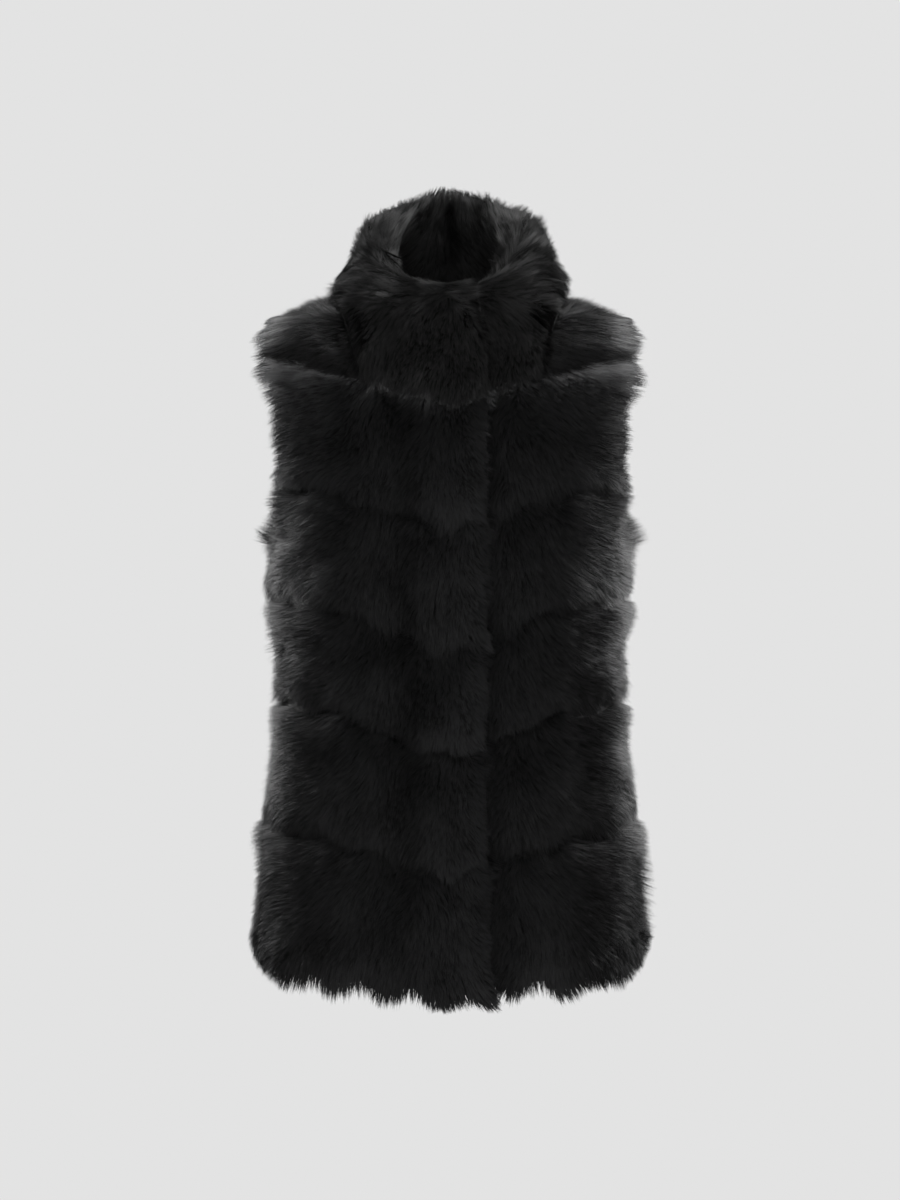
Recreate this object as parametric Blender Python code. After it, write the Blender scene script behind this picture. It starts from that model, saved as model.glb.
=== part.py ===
"""A sleeveless shearling vest with a funnel collar, hollow and open as it is worn.

The back and each front are a yoke and five tiers of shearling, sewn one below the other. A tier is a
wall from the bare inside of its hide to the ends of its pile, and its pile leans down over the tier
below. The right front laps over the left, and the collar does the same.

The script works in metres through MM. +Z is up, the front faces -Y and the wearer's right is at -X.
The origin lies midway between the shoulder seams, where the wearer's shoulders carry the vest.
"""

import math
from collections import namedtuple

import bmesh
import bpy
from mathutils import Vector

MM = 0.001
SEAM_GAP = 0.3

# The seams that run round the body, from the hem up, in millimetres on the inside of the hide.
# The shoulder row is where front and back meet; its centre heights carry the slope past the neck.
Seam = namedtuple("Seam", "front_z back_z edge_z edge_x front_y back_y")
SEAMS = (
    Seam(front_z=-643, back_z=-643, edge_z=-624, edge_x=178, front_y=-119, back_y=113),
    Seam(front_z=-531, back_z=-530, edge_z=-482, edge_x=165, front_y=-113, back_y=108),
    Seam(front_z=-419, back_z=-416, edge_z=-362, edge_x=152, front_y=-105, back_y=95),
    Seam(front_z=-312, back_z=-307, edge_z=-258, edge_x=160, front_y=-106, back_y=93),
    Seam(front_z=-199, back_z=-194, edge_z=-150, edge_x=157, front_y=-116, back_y=104),
    Seam(front_z=-78, back_z=-80, edge_z=-30, edge_x=166, front_y=-104, back_y=102),
    Seam(front_z=66, back_z=66, edge_z=-5, edge_x=176, front_y=0, back_y=0),
)
YOKE = len(SEAMS) - 2
SHOULDER = len(SEAMS) - 1
SQUARENESS = 2.4
CHEVRON = 1.25

# The armhole: how far its edge stands in front of the side seam, or behind it, at each level.
Armhole = namedtuple("Armhole", "level reach")
ARMHOLE = (
    Armhole(level=3.50, reach=SEAM_GAP / 2),
    Armhole(level=3.53, reach=19),
    Armhole(level=3.60, reach=32),
    Armhole(level=3.78, reach=47),
    Armhole(level=4.00, reach=56),
    Armhole(level=4.50, reach=62),
    Armhole(level=5.00, reach=50),
)
ARMHOLE_TURN = 0.75
EDGE_NEARNESS = 2
EDGE_PILE_ANGLE = math.radians(74)

# Pile height across one tier: share is 0 at the lower seam and 1 at the upper one.
SEAM_PILE = 17.0
Row = namedtuple("Row", "share pile")
TIER_ROWS = (
    Row(share=0.00, pile=SEAM_PILE),
    Row(share=0.06, pile=23.5),
    Row(share=0.22, pile=25.0),
    Row(share=0.50, pile=23.0),
    Row(share=0.78, pile=21.0),
    Row(share=0.95, pile=20.0),
    Row(share=1.00, pile=SEAM_PILE),
)
LEAN = 0.13
TUFT = 0.28
TUFT_PITCH = 46.0
TUFT_SHIFT = 1.9
UNEVEN = 0.05
UNEVEN_PITCH = 61.0
UNEVEN_SHIFT = 1.7
YOKE_FADE = 0.2

# The closing: how far each front passes the centre, and the room that the lower one takes.
LAP = 35.0
UNDERLAP = 27.0
UNDER_PILE = 10.0
LAP_GAP = 0.8
LAP_SLOPE = 22.0

# The neckline and the collar.
NECK_X = 112.0
YOKE_TIP_X = 58.0
YOKE_SWELL = 4
YOKE_GAP = 0.002
NECK_CURVE = 3
BACK_NECK_SHARE = 0.36
RIM_X = 70.0
RIM_FRONT_Y = -70.0
RIM_BACK_Y = 66.0
RIM_MEAN_Z = 79.0
RIM_TILT = 55.0
RIM_SIDE_RISE = 7.0
COLLAR_HOLLOW = 3.0
COLLAR_PILE = 24.0
COLLAR_LIP = 26.0
COLLAR_BLEND = 3
RIM_CREST = 13.0
RIM_EDGE = 2.0
FACING_PILE = 23.0
FACING_FOOT_PILE = 7.0
FACING_SWELL_ROWS = 3
FACING_FIRST_ROW = 2

NECK_COLUMNS = 5
BACK_NECK_COLUMNS = 7
OUTER_COLUMNS = 5
COLLAR_ROWS = 7
RIM_ROWS = 4
STEP_ACROSS = 0.06
JOINED_ANGLE = 1.55
STEP_LEVEL = 0.05
MERGE = 0.01
SHARP_ANGLE = math.radians(50)

Finish = namedtuple("Finish", "colour roughness")
FINISHES = {
    "body_pile": Finish(colour=(0.012, 0.012, 0.013), roughness=0.62),
    "collar_pile": Finish(colour=(0.008, 0.008, 0.009), roughness=0.62),
    "facing_pile": Finish(colour=(0.010, 0.010, 0.011), roughness=0.66),
}


def smooth(share):
    """An S-curve from 0 to 1."""
    share = min(1.0, max(0.0, share))
    return share * share * (3 - 2 * share)


def column_at(column, level):
    """A column of SEAMS between its rows, on a smooth curve up to the yoke and straight on below the hem."""
    rows = [getattr(seam, column) for seam in SEAMS[: YOKE + 1]]
    if level <= 0:
        return rows[0] + level * (rows[1] - rows[0])
    first = min(int(level), YOKE - 1)
    share = level - first
    before, start, end, after = (rows[min(max(first + k, 0), YOKE)] for k in (-1, 0, 1, 2))
    slope_in, slope_out = (end - before) / 2, (after - start) / 2
    cubic = 2 * start - 2 * end + slope_in + slope_out
    square = 3 * end - 3 * start - 2 * slope_in - slope_out
    return start + share * (slope_in + share * (square + share * cubic))


def armhole_reach(level):
    """How far the panel's edge stands from the side seam."""
    for low, high in zip(ARMHOLE, ARMHOLE[1:]):
        if level < high.level:
            share = max(0.0, (level - low.level) / (high.level - low.level))
            return low.reach + share * (high.reach - low.reach)
    return ARMHOLE[-1].reach


def edge_x_at(level):
    """The half width of the hide at a level."""
    if level <= YOKE:
        return column_at("edge_x", level)
    rise = math.sin((level - YOKE) * math.pi / 2)
    return SEAMS[YOKE].edge_x + rise * (SEAMS[SHOULDER].edge_x - SEAMS[YOKE].edge_x)


def hide_point(side, x, level):
    """A point on the inside of the hide, x millimetres from the centre and level seams above the hem."""
    turn = 1 if side == "back" else -1
    ratio = min(1.0, abs(x) / edge_x_at(level))
    bulge = (1 - ratio**SQUARENESS) ** (1 / SQUARENESS)
    fall = (1 - ratio) ** CHEVRON
    base = min(level, YOKE)
    edge_y = turn * armhole_reach(base)
    y = bulge * column_at(side + "_y", base) + (1 - bulge) ** EDGE_NEARNESS * edge_y
    edge_z = column_at("edge_z", base)
    z = edge_z + fall * (column_at(side + "_z", base) - edge_z)
    if level > YOKE:
        angle = (level - YOKE) * math.pi / 2
        top = SEAMS[SHOULDER]
        top_z = top.edge_z + fall * (getattr(top, side + "_z") - top.edge_z)
        y *= math.cos(angle)
        z += math.sin(angle) * (top_z - z)
    return Vector((x, y, z))


def pile_direction(side, x, level):
    """The way the pile stands at a point: square to the hide, and straight out where front and back join."""
    edge = edge_x_at(level)
    turn = math.asin(max(-1.0, min(1.0, x / edge)))
    joined_side = level <= ARMHOLE[0].level and abs(turn) > JOINED_ANGLE
    limit = EDGE_PILE_ANGLE if level > ARMHOLE[0].level else math.pi / 2 - STEP_ACROSS
    turn = max(-limit, min(limit, turn))
    left, right = (edge * math.sin(turn + k * STEP_ACROSS) for k in (-1, 1))
    across = hide_point(side, right, level) - hide_point(side, left, level)
    low, high = level - STEP_LEVEL, min(SHOULDER, level + STEP_LEVEL)
    low_x, high_x = (edge_x_at(at) * math.sin(turn) for at in (low, high))
    up = hide_point(side, high_x, high) - hide_point(side, low_x, low)
    out = across.cross(up) if side == "front" else up.cross(across)
    if joined_side or level > SHOULDER - STEP_LEVEL:
        out.y = 0
    return out.normalized()


def below_yoke(level):
    """1 on the tiers, fading to 0 at the yoke, whose pile is even."""
    return smooth((YOKE - level) / YOKE_FADE)


def lean(x, level):
    """How far down the hide the pile's ends lie below their roots, in levels, with uneven tufts."""
    tufts = 1 + TUFT * below_yoke(level) * math.sin(2 * math.pi * x / TUFT_PITCH + TUFT_SHIFT * level)
    return LEAN * tufts * min(1.0, SHOULDER - level)


def pile_foot(x, level):
    """The x and level of the spot on the hide above which the pile rooted at x and level ends."""
    end = level - lean(x, level)
    return x / edge_x_at(level) * edge_x_at(end), end


def pile_point(side, x, level, height):
    """The end of a pile of that height whose root is on the hide at x and level."""
    end_x, end = pile_foot(x, level)
    return hide_point(side, end_x, end) + height * pile_direction(side, end_x, end)


def uneven(x, level):
    """A factor that makes the pile's surface swell and sink a little."""
    wave = math.sin(2 * math.pi * (x / UNEVEN_PITCH + UNEVEN_SHIFT * level))
    return 1 + UNEVEN * below_yoke(level) * wave


def lap_lift(own_x):
    """How far the upper front is lifted off the body where the lower one lies under it."""
    return (UNDER_PILE + LAP_GAP) * smooth((UNDERLAP + LAP_SLOPE - own_x) / LAP_SLOPE)


def lap_press(own_x):
    """The share of its pile that the lower front keeps under the upper one."""
    return smooth((own_x - LAP) / LAP_SLOPE)


# A half of the vest: sign turns its own x into the part's x, and its free edge lies at start.
Half = namedtuple("Half", "name sign start")
RIGHT = Half(name="right", sign=-1, start=-LAP)
LEFT = Half(name="left", sign=1, start=-UNDERLAP)


def wall_heights(half, own_x, height):
    """The heights of the inner and outer faces of a front's or the collar's wall over the hide."""
    if half is RIGHT:
        base = lap_lift(own_x)
        return base, base + height
    return 0.0, UNDER_PILE + lap_press(own_x) * (height - UNDER_PILE)


def gap_level(seam):
    """Half a seam's gap, in levels."""
    return SEAM_GAP / 2 / (SEAMS[max(1, seam)].edge_z - SEAMS[max(0, seam - 1)].edge_z)


def front_neck_level(x):
    """The level of the front neckline."""
    share = max(0.0, (abs(x) - YOKE_TIP_X) / (NECK_X - YOKE_TIP_X))
    return YOKE + min(1.0, share) ** NECK_CURVE


def back_neck_level(x):
    """The level of the back neckline."""
    share = min(1.0, abs(x) / NECK_X)
    return YOKE + BACK_NECK_SHARE + (1 - BACK_NECK_SHARE) * share**NECK_CURVE


def spread(first, last, count):
    """count + 1 even steps from first to last."""
    return [first + (last - first) * k / count for k in range(count + 1)]


def neck_samples(first):
    """The columns along the front neckline, from a front's free edge to the shoulder."""
    closing = [-LAP] + spread(-UNDERLAP, UNDERLAP, 4) + [LAP, (LAP + YOKE_TIP_X) / 2]
    return [x for x in closing if x >= first] + spread(YOKE_TIP_X, NECK_X, NECK_COLUMNS)


def back_neck_samples():
    """The columns along the back neckline, from the centre to the shoulder."""
    return [NECK_X * math.sin(a) for a in spread(0, math.pi / 2, BACK_NECK_COLUMNS)]


def angle_at(x, share, level):
    """A column's angle round the body: at x, or that share of the way from the neck's end to the edge."""
    edge = edge_x_at(level)
    if share == 0:
        return math.asin(x / edge)
    neck_end = math.asin(NECK_X / edge)
    return math.copysign(neck_end + share * (math.pi / 2 - neck_end), x)


def panel_columns(neck):
    """A panel's columns as x and share: those of its neckline, and then on to its edge."""
    return [(x, 0.0) for x in neck] + [(NECK_X, share) for share in spread(0, 1, OUTER_COLUMNS)[1:]]


def back_columns():
    """The back's columns from edge to edge."""
    own = panel_columns(back_neck_samples())
    return [(-x, share) for x, share in reversed(own[1:])] + own


def tier_pile(share):
    """The pile's height across one tier."""
    for low, high in zip(TIER_ROWS, TIER_ROWS[1:]):
        if share <= high.share:
            return low.pile + (share - low.share) / (high.share - low.share) * (high.pile - low.pile)
    return SEAM_PILE


def tier_rows(seam):
    """A tier's rows as level and pile, half a gap inside its seams, with the armhole's own rows added."""
    low, high = seam + gap_level(seam), seam + 1 - gap_level(seam + 1)
    shares = [row.share for row in TIER_ROWS]
    shares += [row.level - seam for row in ARMHOLE if low < row.level < low + ARMHOLE_TURN]
    return [(low + share * (high - low), tier_pile(share)) for share in sorted(set(shares))]


def front_tier(half, seam):
    """The inner and outer points of one tier of a front, row by row from its lower seam up."""
    angles = [angle_at(x, share, YOKE) for x, share in panel_columns(neck_samples(half.start))]
    inner, outer = [], []
    for level, pile in tier_rows(seam):
        inside, outside = [], []
        for angle in angles:
            own_x = edge_x_at(level) * math.sin(angle)
            lap_x = SEAMS[YOKE].edge_x * math.sin(angle)
            base, top = wall_heights(half, lap_x, pile * uneven(own_x, level))
            inside.append(hide_point("front", own_x, level) + base * pile_direction("front", own_x, level))
            outside.append(pile_point("front", own_x, level, top))
        inner.append(inside)
        outer.append(outside)
    return inner, outer


def back_tier(seam):
    """The inner and outer points of one tier of the back."""
    angles = [angle_at(x, share, YOKE) for x, share in back_columns()]
    inner, outer = [], []
    for level, pile in tier_rows(seam):
        columns = [edge_x_at(level) * math.sin(angle) for angle in angles]
        inner.append([hide_point("back", x, level) for x in columns])
        outer.append([pile_point("back", x, level, pile * uneven(x, level)) for x in columns])
    return inner, outer


def yoke(side, columns, neck_level):
    """The inner and outer points of a yoke, whose top follows the neckline and then the shoulder seam."""
    inner, outer = [], []
    for row in TIER_ROWS:
        inside, outside = [], []
        for x, share in columns:
            low = YOKE + YOKE_GAP
            high = max(low, neck_level(x) - YOKE_GAP)
            level = low + row.share * (high - low)
            at = edge_x_at(level) * math.sin(angle_at(x, share, level))
            pile = SEAM_PILE + smooth((high - low) * YOKE_SWELL) * (row.pile - SEAM_PILE)
            inside.append(hide_point(side, at, level))
            outside.append(pile_point(side, at, level, pile))
        inner.append(inside)
        outer.append(outside)
    return inner, outer


def front_yoke():
    """A front's yoke, from its point at the collar to the armhole."""
    return yoke("front", panel_columns(spread(YOKE_TIP_X, NECK_X, NECK_COLUMNS)), front_neck_level)


def back_yoke():
    """The back's yoke, in one piece from armhole to armhole."""
    return yoke("back", back_columns(), back_neck_level)


# One column of the collar: which panel it is sewn to, its x on the neckline and its turn round the neck.
Column = namedtuple("Column", "side x turn")


def collar_columns(half):
    """The collar's columns from its free edge at the front to the centre back."""
    front = [Column("front", x, math.asin(x / NECK_X)) for x in neck_samples(half.start)]
    back = [Column("back", x, math.pi - math.asin(x / NECK_X)) for x in back_neck_samples()[-2::-1]]
    return front + back


def rim_point(turn):
    """The top edge of the collar's hide."""
    depth = RIM_FRONT_Y if math.cos(turn) > 0 else RIM_BACK_Y
    x = RIM_X * math.sin(turn)
    y = depth * abs(math.cos(turn))
    z = RIM_MEAN_Z - RIM_TILT * math.cos(turn) + RIM_SIDE_RISE * math.sin(turn) ** 2
    return Vector((x, y, z))


def neckline_level(column):
    """The level of the collar's lower seam, clear of the panels below it."""
    level = front_neck_level(column.x) if column.side == "front" else back_neck_level(column.x)
    return min(SHOULDER, level + YOKE_GAP)


def collar_hide(column, share):
    """A point on the collar's hide: share is 0 at the neckline and 1 at the rim."""
    foot = hide_point(column.side, column.x, neckline_level(column))
    rim = rim_point(column.turn)
    away = Vector((math.sin(column.turn), -math.cos(column.turn), 0))
    hollow = 4 * share * (1 - share) * COLLAR_HOLLOW
    return foot.lerp(rim, share) - hollow * away


def collar_direction(column, share):
    """The way the collar's pile stands: as the panel's at the neckline, then square to the collar."""
    away = Vector((math.sin(column.turn), -math.cos(column.turn), 0))
    up = collar_hide(column, min(1.0, share + STEP_LEVEL)) - collar_hide(column, max(0.0, share - STEP_LEVEL))
    square = (away - up * (away.dot(up) / up.length_squared)).normalized()
    end_x, end = pile_foot(column.x, neckline_level(column))
    panel = pile_direction(column.side, end_x, end)
    return panel.lerp(square, smooth(share * COLLAR_BLEND)).normalized()


def at_centre_back(point):
    """A half's points at the centre back, moved clear of the other half's."""
    if abs(point.x) < SEAM_GAP / 2 and point.y > 0:
        point.x = SEAM_GAP / 2
    return point


def collar_wall(half):
    """The inner and outer points of one half of the collar, from the neckline over the rim."""
    inner, outer = [], []
    for share in spread(0, 1, COLLAR_ROWS):
        inside, outside = [], []
        for column in collar_columns(half):
            pile = COLLAR_LIP + smooth(share * COLLAR_BLEND) * (COLLAR_PILE - COLLAR_LIP)
            own_x = column.x if column.side == "front" else NECK_X
            base, top = wall_heights(half, own_x, pile * uneven(column.x, share))
            out = collar_direction(column, share)
            hide = collar_hide(column, share)
            level = neckline_level(column)
            end_x, end = pile_foot(column.x, level)
            drop = hide_point(column.side, end_x, end) - hide_point(column.side, column.x, level)
            drop *= 1 - smooth(share * COLLAR_BLEND)
            inside.append(at_centre_back(hide + base * out))
            outside.append(at_centre_back(hide + drop + top * out))
        inner.append(inside)
        outer.append(outside)
    add_rim(inner, outer)
    return inner, outer


def facing_wall(half):
    """The pile on the inside of one half of the collar, from its foot over the rim."""
    inner, outer = [], []
    columns = collar_columns(half)
    if half is RIGHT:
        columns = [column for column in columns if column.side == "back" or column.x >= UNDERLAP]
    shares = spread(0, 1, COLLAR_ROWS)[FACING_FIRST_ROW:]
    for row, share in enumerate(shares):
        inside, outside = [], []
        pile = FACING_FOOT_PILE + smooth(row / FACING_SWELL_ROWS) * (FACING_PILE - FACING_FOOT_PILE)
        for column in columns:
            out = collar_direction(column, share)
            foot = collar_hide(column, share) - SEAM_GAP * out
            inside.append(at_centre_back(foot))
            outside.append(at_centre_back(foot - pile * out))
        inner.append(inside)
        outer.append(outside)
    add_rim(inner, outer)
    return inner, outer


def add_rim(inner, outer):
    """Rounds a wall's top over the rim: the pile turns from level to upright."""
    hides = list(inner[-1])
    piles = [end - hide for hide, end in zip(hides, outer[-1])]
    for angle in spread(0, math.pi / 2, RIM_ROWS)[1:]:
        rise = Vector((0, 0, RIM_CREST * math.sin(angle)))
        inner.append([hide + rise for hide in hides])
        widths = [max(RIM_EDGE / pile.length, math.cos(angle)) for pile in piles]
        outer.append([hide + rise + pile * width for hide, pile, width in zip(hides, piles, widths)])


def material(name):
    """A material of FINISHES, made once."""
    made = bpy.data.materials.get(name)
    if made is None:
        finish = FINISHES[name]
        made = bpy.data.materials.new(name)
        made.use_nodes = True
        shader = made.node_tree.nodes["Principled BSDF"]
        shader.inputs["Base Color"].default_value = (*finish.colour, 1.0)
        shader.inputs["Roughness"].default_value = finish.roughness
        shader.inputs["Metallic"].default_value = 0.0
    return made


def face_strip(bm, first, second):
    """Quads between two rows of vertices."""
    for k in range(len(first) - 1):
        bm.faces.new((first[k], first[k + 1], second[k + 1], second[k]))


def seam_strip(bm, hide, pile):
    """Triangles from the hide to the pile along a seam, split alike on both pieces that meet there."""
    for k in range(len(hide) - 1):
        near, far = sorted((k, k + 1), key=lambda n: abs(hide[n].co.x))
        bm.faces.new((hide[near], hide[far], pile[far]))
        bm.faces.new((hide[near], pile[far], pile[near]))


def wall(name, points, finish, collection, parent, sign=1):
    """A closed wall lofted through rows of inner and outer points, as an object of its own."""
    bm = bmesh.new()
    place = Vector((sign * MM, MM, MM))
    inside, outside = ([[bm.verts.new(p * place) for p in row] for row in rows] for rows in points)
    for rows in (inside, outside):
        for low, high in zip(rows, rows[1:]):
            face_strip(bm, low, high)
    for end in (0, -1):
        seam_strip(bm, inside[end], outside[end])
        seam_strip(bm, [row[end] for row in inside], [row[end] for row in outside])
    bmesh.ops.remove_doubles(bm, verts=bm.verts, dist=MERGE * MM)
    bmesh.ops.recalc_face_normals(bm, faces=bm.faces)
    mesh = bpy.data.meshes.new(name)
    bm.to_mesh(mesh)
    bm.free()
    mesh.materials.append(material(finish))
    mesh.shade_smooth()
    mesh.set_sharp_from_angle(angle=SHARP_ANGLE)
    made = bpy.data.objects.new(name, mesh)
    made.parent = parent
    collection.objects.link(made)
    return made


def build():
    """Makes every piece of the vest."""
    for old in list(bpy.data.objects):
        bpy.data.objects.remove(old)
    collection = bpy.data.collections.new("shearling_vest")
    bpy.context.scene.collection.children.link(collection)
    shoulders = bpy.data.objects.new("shoulders", None)
    collection.objects.link(shoulders)
    for half in (RIGHT, LEFT):
        start = "front_" + half.name
        wall(start + "_yoke", front_yoke(), "body_pile", collection, shoulders, half.sign)
        for seam in range(YOKE):
            name = f"{start}_tier_{YOKE - seam}"
            wall(name, front_tier(half, seam), "body_pile", collection, shoulders, half.sign)
        wall("collar_" + half.name, collar_wall(half), "collar_pile", collection, shoulders, half.sign)
        facing = facing_wall(half)
        wall("collar_facing_" + half.name, facing, "facing_pile", collection, shoulders, half.sign)
    wall("back_yoke", back_yoke(), "body_pile", collection, shoulders)
    for seam in range(YOKE):
        wall(f"back_tier_{YOKE - seam}", back_tier(seam), "body_pile", collection, shoulders)


build()
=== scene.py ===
"""The looks of the shearling vest: thin hides with underfur, long strands of pile and a pale studio."""

import itertools
import math
from collections import namedtuple
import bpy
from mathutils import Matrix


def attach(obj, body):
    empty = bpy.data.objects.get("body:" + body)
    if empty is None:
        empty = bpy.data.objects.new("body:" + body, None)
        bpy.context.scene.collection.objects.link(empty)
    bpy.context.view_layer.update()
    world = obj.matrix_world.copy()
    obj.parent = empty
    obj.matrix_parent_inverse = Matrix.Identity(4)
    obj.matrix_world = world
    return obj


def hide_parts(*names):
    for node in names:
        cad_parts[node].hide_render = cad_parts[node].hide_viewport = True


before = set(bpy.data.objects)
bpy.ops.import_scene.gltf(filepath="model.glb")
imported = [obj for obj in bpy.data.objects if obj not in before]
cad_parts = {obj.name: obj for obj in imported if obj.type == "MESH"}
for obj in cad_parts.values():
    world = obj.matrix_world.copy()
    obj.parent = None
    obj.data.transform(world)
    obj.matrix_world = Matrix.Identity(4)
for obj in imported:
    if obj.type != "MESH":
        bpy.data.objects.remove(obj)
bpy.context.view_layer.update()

from types import SimpleNamespace

import bpy
import numpy as np
from mathutils import Vector
from mathutils.bvhtree import BVHTree

MM = 0.001
SEED = 41

# The cut of each hide: width and length of the piece laid flat, and its area, in metres.
Cut = namedtuple("Cut", "width length area")
CUTS = {
    "front_right_yoke": Cut(width=0.220, length=0.113, area=0.0077),
    "front_right_tier_1": Cut(width=0.228, length=0.122, area=0.0253),
    "front_right_tier_2": Cut(width=0.270, length=0.138, area=0.0270),
    "front_right_tier_3": Cut(width=0.267, length=0.106, area=0.0261),
    "front_right_tier_4": Cut(width=0.275, length=0.120, area=0.0300),
    "front_right_tier_5": Cut(width=0.286, length=0.142, area=0.0358),
    "front_left_yoke": Cut(width=0.220, length=0.113, area=0.0077),
    "front_left_tier_1": Cut(width=0.216, length=0.122, area=0.0239),
    "front_left_tier_2": Cut(width=0.256, length=0.138, area=0.0255),
    "front_left_tier_3": Cut(width=0.254, length=0.107, area=0.0249),
    "front_left_tier_4": Cut(width=0.263, length=0.120, area=0.0287),
    "front_left_tier_5": Cut(width=0.273, length=0.142, area=0.0344),
    "back_yoke": Cut(width=0.447, length=0.112, area=0.0289),
    "back_tier_1": Cut(width=0.373, length=0.122, area=0.0397),
    "back_tier_2": Cut(width=0.434, length=0.138, area=0.0431),
    "back_tier_3": Cut(width=0.431, length=0.109, area=0.0428),
    "back_tier_4": Cut(width=0.460, length=0.120, area=0.0505),
    "back_tier_5": Cut(width=0.479, length=0.142, area=0.0614),
    "collar_right": Cut(width=0.410, length=0.151, area=0.0352),
    "collar_left": Cut(width=0.399, length=0.151, area=0.0336),
    "collar_facing_right": Cut(width=0.297, length=0.111, area=0.0194),
    "collar_facing_left": Cut(width=0.346, length=0.111, area=0.0228),
}

# The body's half width and half depth, for the way out of it, and the yoke's middle.
BODY_X = 0.165
BODY_Y = 0.110
YOKE_MIDDLE = np.array((0.0, 0.0, -0.10))

# The right front's edge, and how far under it the left front still grows pile.
LAP_EDGE_X = 0.033
LAP_COVERED = 0.012
LAP_END_NEAR = 0.020
FRONT_Y = -0.03

# The hide: the share of the wall that the underfur fills, and how far its edges close a seam.
UNDERFUR_SHARE = {"tier": 0.34, "yoke": 0.22, "collar": 0.30, "facing": 0.30}
SEAM_OVERLAP = 0.7 * MM
WALL_FACES_OUT = 0.35
UPRIGHT_BELOW = 0.5
MERGE_WITHIN = 0.01 * MM
SMOOTH_ANGLE = math.radians(60)

# Which faces grow pile: those that look out, the lap's end, and the side and the foot of each armhole.
PILE_FACES_OUT = 0.2
LAP_END_TURNED = 0.6
FACING_EDGE_UP = 0.4
COLLAR_EDGE_UP = 0.45
COLLAR_COVERED_UP = 0.3
ARMHOLE_SIDE = SimpleNamespace(turned=0.6, x=0.14, z=-0.205, out=-0.3)
ARMHOLE_BOTTOM = SimpleNamespace(up=0.3, x=0.13, deep=0.050, z=-0.185, tall=0.045)

# The way out of a wall, evened before strands grow: the least that it points up, and the lap's turned end.
OUT_LEAST_UP = {"tier": -0.15, "collar": 0.0}
LAP_TURNED_X = 0.02
LAP_TURN_KEPT = 0.25

# The rim of the collar's hide, which the pile passes: its height at the middle, its tilt and its side rise.
RIM_Y = 0.068
RIM_Z = 0.079
RIM_TILT = 0.055
RIM_RISE = 0.007
RIM_STUB = 0.15

# How high the pile stands behind the rim, and how low it hangs at the hem, whose corners are round.
RIM_ARCH_X = (0.000, 0.020, 0.035, 0.060, 0.085, 0.100)
RIM_ARCH_Z = (0.150, 0.147, 0.141, 0.129, 0.119, 0.100)
HEM_X = (0.206, 0.200, 0.192, 0.182, 0.165, 0.150, 0.100)
HEM_Z = (-0.590, -0.612, -0.629, -0.641, -0.651, -0.657, -0.664)

# The pile: strands to the square metre, and what a strand measures.
STRANDS_FRONT = 1225e3
STRANDS_BACK = 870e3
ROOT_DEPTH = 16 * MM
ROOT_COVER = 5 * MM
STRAND_SHORTEST = 17 * MM
STRAND_LONGEST = 36 * MM
STRAND_WIDTH = 0.72 * MM
LENGTH_CHANCE = (0.85, 1.12)
WIDTH_CHANCE = (0.7, 1.3)
ROLL_CHANCE = (-0.5, 0.5)
LEAST_SQUARE = 0.3
MOST_SQUARE = 0.88

# Guard hairs are longer and finer than the rest, and stay out of the locks that the rest gather in.
GUARD_SHARE = 0.06
GUARD_REACH = (1, 4)
GUARD_FINER = 0.3
HEM_WIDER = 0.6
GATHER = (0.15, 0.5)
GATHER_ARMHOLE = 0.4
ARMHOLE_X = 0.15
ARMHOLE_Z = -0.21

# The size of a lock and of a tuft, and the length of the soft waves that run over the pile.
LOCK_SIZE = 5 * MM
TUFT_SIZE = 26 * MM
TUFT_SEED = SEED + 10
WAVE_LENGTH = 0.075
WAVE_LENGTHS = (0.7, 1.5)
WAVE_COUNT = 7
WAVE_EVENED = 3.2
WAVE_SEED = SEED + 20
HASH_OFFSET = 4096

# The steps round the body at which a piece's lower and upper edges are read.
TURN_STEPS = 48
TURN_NEAR = 0.09
LEAST_HEIGHT = 10 * MM

# How much of a strand's lean, reach, light and shade comes from its wave, its tuft, its lock and itself.
Chance = namedtuple("Chance", "wave tuft lock strand")
LEAN = Chance(wave=0.14, tuft=0.20, lock=0.24, strand=0.07)
REACH = Chance(wave=1.5 * MM, tuft=3 * MM, lock=4 * MM, strand=1.2 * MM)
LIGHT = Chance(wave=0.12, tuft=0.20, lock=0.26, strand=0.10)
SHADE = Chance(wave=0.08, tuft=0.2, lock=0.2, strand=0.14)
LIGHT_SIDE_CHANCE = 1.5

# An uneven edge: how far its tufts and its locks stand out, in mm.
Edge = namedtuple("Edge", "tuft lock")
HEM_EDGE = Edge(tuft=4, lock=5)
RIM_EDGE = Edge(tuft=6, lock=9)
RING_EDGE = Edge(tuft=6, lock=7)
LAP_EDGE = Edge(tuft=8, lock=6)

# A fade grows from 0 at its start to 1 at the end of its span; a negative span runs the other way.
Fade = namedtuple("Fade", "start span")

# Fades over the height of a piece, from its lower edge at 0 to its upper one at 1.
LIP = Fade(start=0.24, span=-0.24)
TOP = Fade(start=0.58, span=0.42)
CREST = Fade(start=0.45, span=0.45)
YOKE_UPPER = Fade(start=0.5, span=0.4)
FIRST_TIER_UPPER = Fade(start=0.60, span=0.20)

# Fades sideways from the middle of the vest.
COMB_SIDE = Fade(start=0.055, span=0.115)
COLLAR_COMB_SIDE = Fade(start=0.05, span=0.03)
SIDE = Fade(start=0.10, span=0.07)
OUTER = Fade(start=0.145, span=0.040)
HEM_SIDE = Fade(start=0.07, span=0.03)
HEM_CORNER_SIDE = Fade(start=0.12, span=0.06)
FIRST_TIER_SIDE = Fade(start=0.155, span=0.015)
CREST_SIDE = Fade(start=0.05, span=0.05)
COLLAR_SIDE = Fade(start=0.05, span=0.04)
YOKE_INNER = Fade(start=0.130, span=-0.020)
SHOULDER_END = Fade(start=0.160, span=0.024)
SHOULDER_TIP = Fade(start=0.168, span=0.018)

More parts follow.
